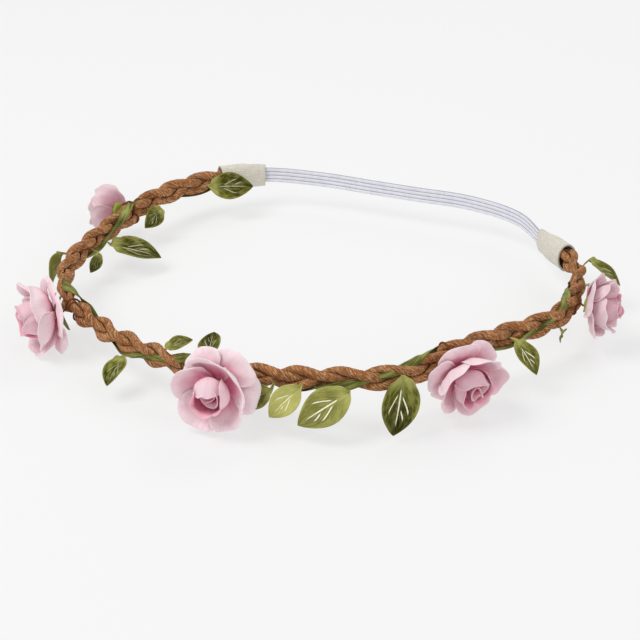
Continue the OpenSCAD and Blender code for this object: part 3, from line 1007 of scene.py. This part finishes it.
LEAVES = tuple(LeafSpec(*row) for row in (
    (1, -120, 180, 175, -60, 150, 16.5, 0.22, True), (2, -102, 200, 238, 72, 140, 11, 0.3, True),
    (3, -79.5, 225, 186, -22, 120, 19, 0.12, True), (4, -72, 200, 280, 35, 130, 7.5, 0.1),
    (5, -67, 0, 285, 60, 0, 14, 0.7), (6, -50, -65, 265, 64, 340, 13, 0.25),
    (7, -18, -35, 347, 19, 60, 12.5, 0.45, True), (8, -6, 75, 145, 45, 60, 9, 0.6),
    (9, 4.5, 80, 155, -15, 50, 12, 0.12), (10, 19, -25, 288, -62, 30, 12, 0.6),
    (11, 25, -5, 300, -46, 30, 14, 0.88, True), (12, 34.5, -25, 318, -56, 30, 19, 0.69, True),
    (13, 44, 28, 287, -12, 10, 20, 0.2, True), (14, 75, 0, 332, 1, 25, 13, 0.58, True),
    (15, 90, -60, 245, 45, 0, 8, 0.2), (16, 105, 40, 273, 6, 0, 11, 0.2),
    (17, 117, 45, 335, -22, 80, 14, 0.6, True)))


@dataclass
class Foliage:
    """The satin leaves, each sewn on by a narrow stalk."""

    plait: Plait
    finishes: dict[Slot, Material]
    ratio: float = 0.64
    widest: float = 0.45
    stalk_w: float = 1.4
    stalk_rows: int = 5
    stalk_share: float = 0.8
    thick: float = 0.26
    fold: float = 0.27
    pinch: float = 1.0
    droop: float = 0.16
    vein_deep: float = 0.2
    foot_clear: float = 0.5
    ripple: float = 0.035
    narrowest: float = 0.12
    rows: int = 46
    columns: int = 27

    def half_width(self, v: Array) -> Array:
        """Half the blade's width as a share of its full width, along the blade."""
        top = self.widest
        tip = 0.5 * np.clip(cosd(90 * (v - top) / (1 - top)), 0, 1) ** 0.8
        return np.where(v < top, 0.08 + 0.42 * sind(90 / top * np.clip(v, 0.0, top)) ** 0.65, tip)

    @staticmethod
    def emboss(u: Array, v: Array) -> Array:
        """Pressed depth of the midrib and the side veins, 0 to 1."""
        depth = ease(0.12, 0.0, np.abs(u)) * ease(0.05, 0.2, v) * ease(0.98, 0.8, v)
        for side, start, slope, low, high in SIDE_VEINS:
            out = side * u
            stroke = ease(0.05, 0.0, np.abs(v - start - slope * out))
            stroke = stroke * ease(low - 0.1, low + 0.1, out) * ease(high + 0.1, high - 0.1, out)
            depth = np.maximum(depth, 0.7 * stroke)
        return depth

    def build(self) -> None:
        """Builds every leaf."""
        for spec in LEAVES:
            self._leaf(spec)

    def _leaf(self, spec: LeafSpec) -> None:
        """Builds one leaf from its sewn foot to its tip."""
        band, at = self.plait.band, spec.at
        d = sind(spec.lean) * band.axes(at)[0] + cosd(spec.lean) * band.clock(at, spec.blade)
        n = flat_to(band.clock(at, spec.face), d)
        y, o = np.cross(n, d), band.clock(at, spec.foot)
        y_foot = flat_to(y, o)
        n_foot = np.cross(o, y_foot)
        foot = band.mid(at) + (self.plait.wrap_r + self.foot_clear) * o
        root = band.mid(at) + self.plait.seat(at, spec.foot, self.stalk_w) * o
        v = np.concatenate([np.zeros(self.stalk_rows), np.linspace(0.03, 1.0, self.rows)])
        bend = np.concatenate([np.linspace(0, self.stalk_share, self.stalk_rows), np.ones(self.rows)])
        climbed = np.minimum(bend / self.stalk_share, 1.0)
        blade = foot + (v * spec.length)[:, None] * d - (self.droop * spec.length * v ** 2)[:, None] * n
        spine = np.where(bend[:, None] < 1, root + climbed[:, None] * (foot - root), blade)
        across = unit(y_foot + bend[:, None] * (y - y_foot))
        rise = unit(n_foot + bend[:, None] * (n - n_foot))
        half = np.maximum(self.narrowest, self.half_width(v) * self.ratio * spec.length)
        half = np.where(bend < 1, self.stalk_w * (0.15 + 0.35 * climbed), half)
        u = np.linspace(-1, 1, self.columns)[:, None]
        wave = np.sin(9 * v + 1.9 * spec.number + np.sign(u)) * ease(0.05, 0.3, v)
        cupped = self.fold + (self.pinch - self.fold) * ease(0.16, 0.0, v)
        lift = half * (np.abs(u) ** 1.25 * cupped + self.ripple * np.abs(u) ** 1.5 * wave)
        lift = lift - self.vein_deep * self.emboss(u, v)
        grid = spine + (u * half)[..., None] * across + lift[..., None] * rise
        name = f"leaf_{spec.number:02d}"
        skin = Skin().sheet(grid, self.thick, stacked(u, v, spec.number + spec.tone))
        piece = skin.make(f"satin_{name}", self.finishes[Slot.LEAF])
        hand_over(piece, name if spec.free else band.body_at(at), name)


# Roses


@dataclass(frozen=True)
class RoseSpec:
    """One rose on the band.

    The tilt is downwards, size is a share of the full size, open runs from 0 to 1, and hood is the
    heart petal that leans over the heart, or -1 for none.
    """

    name: str
    at: float
    tilt: float
    spin: float
    size: float
    open: float
    tone: float
    hood: int = -1


# The tone, after openness, paints a rose paler above 0.5 and greyer below: painted light and shade.
ROSES = (RoseSpec("front", 8.5, 2, 0, 0.97, 1, 0.72, 1),
         RoseSpec("front_right", 58, 18, 50, 0.95, 0.85, 0.45),
         RoseSpec("right", 98, -7, 5, 0.84, 0.4, 0.33),
         RoseSpec("left", -40, 4, 40, 1, 0.85, 0.5),
         RoseSpec("back_left", -94, 5, 10, 0.76, 0.1, 0.16))


@dataclass(frozen=True)
class Whorl:
    """A ring of petals: half the angle that one spans, their profiles open and shut, and their rims."""

    count: int
    half_span: float
    turn: float
    opened: tuple
    shut: tuple
    roll: float
    rolled: float
    cup: float
    ruffle: float
    close: float
    pale: float


OUTER = Whorl(5, 45, 0, ((2.9, 0.8), (6.5, 1.2), (10.5, 1.6), (13.5, 0.4)),
              ((2.9, 0.8), (7.5, 0.8), (10.6, 3.5), (10.8, 9)),
              roll=38, rolled=2.6, cup=-0.7, ruffle=0.4, close=0.0, pale=1.0)
CUP = Whorl(5, 45, 36, ((2.2, 1.6), (6.8, 2.3), (10.8, 4.8), (12.2, 9.6)),
            ((2.2, 1.6), (6.2, 2.3), (8.4, 5.4), (8.4, 11)),
            roll=48, rolled=2.8, cup=0.7, ruffle=0.35, close=0.6, pale=0.9)
HEART = Whorl(3, 74, 15, ((2.8, 4.2), (5.2, 5.2), (7.2, 8.6), (7, 13)),
              ((2.8, 4.2), (4.8, 5), (6.2, 8.4), (6, 12.8)),
              roll=42, rolled=2.0, cup=0.5, ruffle=0.3, close=2.2, pale=0.4)

# Radius and height of a hip, below the post that the petals are tied to.
HIP_PROFILE = ((0.55, -1.0), (1.4, -0.99), (2.2, -0.85), (2.9, -0.5), (3.2, -0.1), (3.1, 0.2),
               (2.6, 0.45), (1.9, 0.6), (1.45, 0.75), (1.4, 2.0))


@dataclass
class Rose:
    """A paper rose: stem wire, hip, two rings of open petals, heart petals and a rolled heart."""

    plait: Plait
    finishes: dict[Slot, Material]
    spec: RoseSpec
    rose_d: float = 28.0
    profile_d: float = 27.0
    petal_t: float = 0.28
    petal_lap: float = 0.6
    table: float = 0.6
    give: float = 0.4
    hood_turn: float = 60.0
    hood_dip: float = 1.6
    crinkle: float = 0.3
    heart_turn: float = 500.0
    heart_top: float = 12.6
    heart_wave: float = 0.9
    coil: tuple = (12, 444)
    coil_pitch: float = 2.5
    wrap_pitch: float = 1.1
    wire_d: float = 0.7
    bite: float = 0.3
    hip_h: float = 1.0
    foot_r: float = 1.5
    hip_cover: float = 40.0
    post_h: float = 3.1
    bore_top: float = 1.5

    @property
    def scale(self) -> float:
        """Share of the profile's size."""
        return self.rose_d / self.profile_d * self.spec.size

    @property
    def stem_r(self) -> float:
        """Radius of the wire's turns on the bare plait."""
        return self.plait.round_r + self.plait.fit_gap + self.wire_d / 2

    @property
    def axis(self) -> Array:
        """Direction in which the flower looks."""
        tilt, at = self.spec.tilt, self.spec.at
        return np.array([cosd(tilt) * sind(at), -cosd(tilt) * cosd(at), -sind(tilt)])

    @property
    def skew(self) -> float:
        """How far the flower leans along the band."""
        return float(self.axis @ self.plait.band.axes(self.spec.at)[0])

    @property
    def own_clock(self) -> float:
        """Clock angle of the flower's axis."""
        _, outward, upward = self.plait.band.axes(self.spec.at)
        return math.degrees(math.atan2(float(self.axis @ upward), float(self.axis @ outward)))

    @property
    def seat(self) -> float:
        """Distance of the flower's foot from the band's centreline."""
        plait = self.plait
        clear = self.stem_r + self.wire_d / 2 + plait.fit_gap
        if plait.off_ribbon(self.spec.at, self.own_clock) < plait.ribbon_cover + self.hip_cover:
            clear += plait.ribbon_t + plait.fit_gap
        return (clear + self.foot_r * abs(self.skew)) / math.sqrt(1 - self.skew ** 2) + self.hip_h

    def place(self, points: Array) -> Array:
        """Moves points from the flower's own frame to its seat on the band."""
        spin, tip = turn_about(2, self.spec.spin), turn_about(1, 90 + self.spec.tilt)
        yaw = turn_about(2, self.spec.at - 90)
        raised = points @ spin.T + np.array([0, 0, self.seat])
        return raised @ (yaw @ tip).T + self.plait.band.mid(self.spec.at)

    def build(self) -> None:
        """Builds the rose from its wire to its heart."""
        self._stem()
        self._hip()
        self._petals("outer_petals", (OUTER,), 1)
        self._petals("inner_petals", (CUP, HEART), 11)
        self._heart()

    def _finish(self, skin: Skin, label: str, slot: Slot, part: str) -> None:
        """Makes a piece of the rose and puts it on its half of the band."""
        piece = skin.make(f"rose_{self.spec.name}_{label}_dressed", self.finishes[slot])
        hand_over(piece, self.plait.band.body_at(self.spec.at), f"rose_{self.spec.name}_{part}")

    def _petals(self, name: str, whorls: tuple[Whorl, ...], first: int) -> None:
        """Builds one piece from rings of petals, numbered from first."""
        skin = Skin()
        for number, (whorl, k) in enumerate(((w, k) for w in whorls for k in range(w.count)), first):
            self._petal(skin, whorl, k, number)
        self._finish(skin, name, Slot.PETAL, name)

    def _petal(self, skin: Skin, whorl: Whorl, k: int, number: int) -> None:
        """Adds one petal to a skin.

        Args:
            skin: Where the petal goes.
            whorl: Its ring.
            k: Its place in the ring.
            number: Its own number, which varies its rim and its dye.
        """
        f, at = self.scale, self.spec.at
        p = f * (self.spec.open * np.array(whorl.opened) + (1 - self.spec.open) * np.array(whorl.shut))
        draw = np.random.default_rng(1000 + 97 * number + int(10 * at + 2000))
        grow, yaw, turn_by, push, sway = draw.uniform((0.98, -4, 0.7, -0.4, -1), (1.07, 4, 1.3, 0.4, 1))
        hooded = whorl is HEART and k == self.spec.hood
        uncurl, gather, broaden = (0.4, 2.5, 1.1) if hooded else (1.0, 1.0, 1.0)
        turned = self.hood_turn if whorl is HEART and self.spec.hood >= 0 else 0.0

        u = np.sin(np.linspace(-1, 1, 35) * math.pi / 2)[:, None]
        v = 1 - (1 - np.linspace(0, 1, 29)[None, :]) ** 1.25
        ragged = 0.03 * sway * u + 0.022 * np.sin(7 * u + 2.3 * number)
        e = v * grow * (0.54 + 0.46 * np.sqrt(1 - u ** 4) + ragged)
        rest = 1 - e
        weights = (rest ** 3, 3 * e * rest ** 2, 3 * e ** 2 * rest, e ** 3)
        q = sum(w[..., None] * c for w, c in zip(weights, p))
        pulls = (3 * rest ** 2, 6 * e * rest, 3 * e ** 2)
        t = unit(sum(w[..., None] * c for w, c in zip(pulls, np.diff(p, axis=0))))
        out = np.stack([t[..., 1], -t[..., 0]], axis=-1)

        length = float(run_of(p)[-1])
        bent = f * whorl.rolled / length
        angle = math.radians(whorl.roll) * turn_by * (1 - 0.35 * u ** 2) * uncurl
        theta = angle * np.clip((v - 1 + bent) / bent, 0, 1)
        radius = bent * length / angle
        bow = whorl.cup * (0.35 - u ** 2) * ease(0.1, 0.8, e)
        wave = whorl.ruffle * ease(0.45, 1.0, v) * np.sin(3.2 * u + 1.7 * number + at)
        crinkle = self.crinkle * ease(0.15, 0.6, v) * np.sin(5.5 * u + 2 * number)
        crinkle = crinkle * np.sin(9 * v + 1.3 * number + 2 * u)
        close = whorl.close * gather * ease(0.35, 1.0, e) ** 1.5
        off = f * (self.petal_lap * u + bow + wave + crinkle + push * ease(0.2, 1.0, v) - close)
        off = off + radius * (1 - np.cos(theta))
        q = q + out * off[..., None] + t * (radius * (np.sin(theta) - theta))[..., None]

        c = np.radians(whorl.turn + turned + yaw + 360 * k / whorl.count + u * whorl.half_span * broaden)
        lies = self.place(about(q[..., 0], c, q[..., 1]))
        lies[..., 2] = self.table + self.give * np.logaddexp(0.0, (lies[..., 2] - self.table) / self.give)
        skin.sheet(lies, self.petal_t, stacked(u, whorl.pale * v, number + self.spec.tone))

    def _heart(self) -> None:
        """Builds the rolled heart."""
        f, at = self.scale, self.spec.at
        g = np.linspace(0, 1, 120)[:, None]
        h = np.linspace(0, 1, 19)[None, :]
        c = np.radians(self.heart_turn * g)
        foot = self.post_h * f + self.plait.fit_gap
        dip = self.hood_dip if self.spec.hood >= 0 else 0.0
        top = f * (self.heart_top - dip - 0.9 * g + self.heart_wave * np.sin(1.5 * c + at))
        low, high = f * (0.35 + 1.2 * g), f * (0.9 + 2.9 * g)
        flare = f * self.heart_wave * ease(0.7, 1, h) * (0.45 + 0.55 * np.sin(1.5 * c + 2 * at))
        r = low + (high - low) * h + flare
        grid = about(r, c, foot + (top - foot) * h)
        skin = Skin().sheet(self.place(grid), self.petal_t, stacked(8 * g, h, 60 + self.spec.tone))
        self._finish(skin, "heart", Slot.HEART, "bud")

    def _hip(self) -> None:
        """Builds the moulded green hip with the taped post that the petals are tied to."""
        post = self.post_h * self.scale
        profile = np.array(HIP_PROFILE + ((1.4, post - 0.1 * self.scale), (0.9, post)))
        turn = ticks(40)
        r = profile[:, :1] * (1 + 0.03 * np.cos(5 * turn) * ease(1.4, 2.6, profile[:, :1]))
        rings = about(r, turn, profile[:, 1:])
        self._finish(Skin().tube(self.place(rings), rings), "hip", Slot.HIP, "calyx")

    def _stem(self) -> None:
        """Builds the wrapped wire: up into the hip, and round the plait."""
        band, at = self.plait.band, self.spec.at
        along = band.axes(at)[0]
        turns = np.linspace(*self.coil, 90)
        shank = np.linspace(self.seat + self.bore_top - self.plait.fit_gap, self.stem_r, 6)
        climb = band.mid(at) + shank[:, None] * self.axis
        clock = self.own_clock + turns
        advance = self.stem_r * self.skew + self.coil_pitch * self.wire_d * turns / 360
        here = at + np.degrees(advance / band.ring_r)
        around = np.arange(-12, 13, 6)
        reach = self.plait.cord_reach(here[:, None], clock[:, None] + around).max(axis=1)
        taut = np.convolve(np.pad(reach, 4, "edge"), np.full(9, 1 / 9), "valid") - self.bite
        r = taut + self.wire_d / 2 + self.plait.ribbon_t * self.plait.over_ribbon(here, clock)
        coil = band.mid(at) + advance[:, None] * along + r[:, None] * band.clock(at, clock)
        path = np.concatenate([climb, coil])
        t = unit(np.gradient(path, axis=0))
        o = flat_to(along, t)
        s, turn = run_of(path)[:, None], ticks(12)
        r = self.wire_d / 2 * (1 + 0.05 * np.sin(turn + math.tau * s / self.wrap_pitch))
        rings = hoops(path, o, np.cross(o, t), r * np.cos(turn), r * np.sin(turn))
        skin = Skin().tube(rings, stacked(np.cos(turn), np.sin(turn), s))
        self._finish(skin, "wire", Slot.WIRE, "stem")


# Closure


@dataclass
class Closure:
    """The ribbed elastic and the two tape sleeves that bond it to the plait's ends."""

    plait: Plait
    finishes: dict[Slot, Material]
    elastic_w: float = 6.0
    elastic_t: float = 1.1
    ribs: int = 4
    wall: float = 0.6
    mouth_at: float = 124.5
    taper_at: float = 129.5
    end_at: float = 136.0
    elastic_at: float = 134.0
    stretch_in: float = 2.0
    end_ease: float = 0.7
    bead_at: tuple = (130.1, 133.7)
    threads: int = 48
    thread_rows: float = 2.4
    hems: tuple = (0.12, 0.1)
    crease: float = 0.12
    seam: float = 0.25
    seam_at: float = 4.4
    sunk: float = 0.05

    def build(self) -> None:
        """Builds the elastic, both sleeves and the glue inside them."""
        self._elastic()
        for side, name, body in ((-1, "left", Body.LEFT), (1, "right", Body.RIGHT)):
            self._sleeve(side, name, body)
            self._bead(side, name, body)

    def _flattened(self, a: Array) -> Array:
        """How far a sleeve is pressed flat at angles a, 0 to 1."""
        return np.clip((a - self.taper_at) / (self.end_at - self.taper_at), 0, 1)[:, None]

    def _hollow(self, a: Array) -> Array:
        """Half sizes of a sleeve's hollow at angles a: outwards and upwards."""
        f, plait = self._flattened(a), self.plait
        mouth = np.array([plait.depth, plait.swing * 1.16]) + plait.strand_d / 2 + plait.fit_gap
        flat = np.array([self.elastic_t / 2, self.elastic_w / 2]) + self.end_ease
        return mouth * (1 - f) + flat * f

    def _ovals(self, a: Array, half: tuple[Array, Array], turn: Array) -> Array:
        """Rings round the band at angles a, with half sizes outwards and upwards."""
        band, (out, up) = self.plait.band, half
        return hoops(band.mid(a), *band.axes(a)[1:], out * np.cos(turn), up * np.sin(turn))

    def _bead(self, side: int, name: str, body: Body) -> None:
        """Builds the bead of set glue inside one sleeve."""
        a, x, turn = np.linspace(*self.bead_at, 15), np.linspace(-1, 1, 15)[:, None], ticks(32)
        dome = np.sqrt(np.maximum(0.04, 1 - x ** 4)) * (self._hollow(a) - self.plait.fit_gap / 2)
        lump = 1 + 0.03 * np.sin(3 * turn + 5 * x)
        rings = self._ovals(side * a, (dome[:, :1] * lump, dome[:, 1:] * lump), turn)
        skin = Skin().tube(rings, rings - rings.mean(axis=(0, 1)))
        piece = skin.make(f"glue_bead_{name}", self.finishes[Slot.GLUE])
        hand_over(piece, body.value, f"bond_plug_{name}")

    def _elastic(self) -> None:
        """Builds the strap of round rubber cords held side by side by thread."""
        band = self.plait.band
        a = np.linspace(self.elastic_at, 360 - self.elastic_at, 150)
        b = np.linspace(0, 1, 41)
        x = self.elastic_t / 2 * (0.5 + 0.5 * np.abs(np.sin(math.pi * self.ribs * b)) ** 0.6)
        x[[0, -1]] = self.elastic_t * 0.12
        across = np.concatenate([b, b[::-1]])
        proud = np.concatenate([x, -x[::-1]])
        rings = hoops(band.mid(a), *band.axes(a)[1:], proud, (across - 0.5) * self.elastic_w)
        skin = Skin().tube(rings, stacked(self.ribs * across, run_of(band.mid(a))[:, None], 0.0))
        piece = skin.make("ribbed_elastic_strap", self.finishes[Slot.ELASTIC])
        inset = self.elastic_at + self.stretch_in
        ends = band.mid((360 - inset, inset)) * MM
        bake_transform(piece)
        settle(piece, "elastic_band")

    def _sleeve(self, side: int, name: str, body: Body) -> None:
        """Builds one tape sleeve, round over the plait and pressed flat over the elastic.

        Args:
            side: -1 for the left end, 1 for the right.
            name: Its name in the frame.
            body: The half of the band that carries it.
        """
        a = np.linspace(self.mouth_at, self.end_at, 25)
        f, hollow, turn = self._flattened(a), self._hollow(a), ticks(self.threads)
        run = (a - a[0])[:, None] * math.pi / 180 * self.plait.band.ring_r
        first, last = ease(1.6, 0.9, run), ease(run[-1] - 1.2, run[-1] - 0.6, run)
        hem = self.hems[0] * first + self.hems[1] * last
        crease = self.crease * np.sin(6 * turn + 0.8 * run) * f * (1 - f) * 4
        seam = self.seam * ease(0.5, 0.1, np.abs(turn - self.seam_at))
        grown = self.wall + hem + crease + seam - self.sunk
        outer, inner = (self._ovals(side * a, (hollow[:, :1] + wall, hollow[:, 1:] + wall), turn)
                        for wall in (grown, 0.0))
        along = np.concatenate([run, run[::-1]])
        lay = stacked(turn * self.threads / math.tau, along * self.thread_rows, 0.0)
        skin = Skin().tube(np.concatenate([outer, inner[::-1]]), lay, looped=True)
        piece = skin.make(f"tape_sleeve_{name}", self.finishes[Slot.TAPE])
        hand_over(piece, body.value, f"sleeve_{name}")


# Studio, with its soft boxes: name, place, size and watts


LIGHTS = (("key", (-0.5, -0.6, 1.1), 0.7, 9.0), ("fill", (0.9, -0.4, 0.8), 0.9, 3.0),
          ("back", (0.1, 0.9, 0.9), 0.9, 3.0))


@dataclass(frozen=True)
class Studio:
    """Floor, lights and camera, in metres."""

    floor: Material
    camera_at: tuple = (0.3232, -0.5826, 0.3384)
    look_at: tuple = (0.02099, -0.03971, 0.01603)
    lens: float = 116.16
    sensor: float = 36.0
    sight: tuple = (0.01, 20.0)
    floor_half: float = 3.0
    floor_drop: float = 0.0002
    room_light: float = 0.5

    def build(self) -> None:
        """Builds the studio."""
        self._camera()
        self._floor()
        self._lights()

    @staticmethod
    def _hang(data: bpy.types.ID, place: tuple, target: tuple) -> Piece:
        """Adds a camera or a light at a place, aimed at a target."""
        thing = bpy.data.objects.new(data.name, data)
        thing.location = place
        thing.rotation_euler = (Vector(target) - Vector(place)).to_track_quat("-Z", "Y").to_euler()
        bpy.context.scene.collection.objects.link(thing)
        return thing

    def _camera(self) -> None:
        """Sets the camera at the photograph's angle."""
        data = bpy.data.cameras.new("camera")
        data.lens, data.sensor_width = self.lens, self.sensor
        data.clip_start, data.clip_end = self.sight
        bpy.context.scene.camera = self._hang(data, self.camera_at, self.look_at)

    def _floor(self) -> None:
        """Lays a plain pale floor."""
        half = self.floor_half
        corners = [(-half, -half, 0), (half, -half, 0), (half, half, 0), (-half, half, 0)]
        mesh = bpy.data.meshes.new("floor")
        mesh.from_pydata(corners, [], [(0, 1, 2, 3)])
        mesh.materials.append(self.floor)
        floor = bpy.data.objects.new("floor", mesh)
        floor.location.z = -self.floor_drop
        bpy.context.scene.collection.objects.link(floor)

    def _lights(self) -> None:
        """Hangs soft boxes and fills the room with even light."""
        scene = bpy.context.scene
        scene.view_settings.view_transform = "Standard"
        world = bpy.data.worlds.new("studio")
        world.use_nodes = True
        room = world.node_tree.nodes["Background"].inputs
        room["Color"].default_value = WHITE
        room["Strength"].default_value = self.room_light
        scene.world = world
        for name, place, size, watts in LIGHTS:
            data = bpy.data.lights.new(name, "AREA")
            data.energy, data.size = watts, size
            self._hang(data, place, (0.0, 0.0, 0.0))


def main() -> None:
    """Loads the frame and builds every piece of the crown."""
    logging.basicConfig(level=logging.INFO, format="%(name)s %(message)s")
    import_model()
    fx = SharedEffects()
    finishes = {slot: finish.build(fx) for slot, finish in FINISHES.items()}
    Studio(FLOOR.build(fx)).build()
    plait = Plait(Band(), finishes)
    plait.build()
    Foliage(plait, finishes).build()
    for spec in ROSES:
        Rose(plait, finishes, spec).build()
    Closure(plait, finishes).build()


if __name__ == "__main__":
    main()
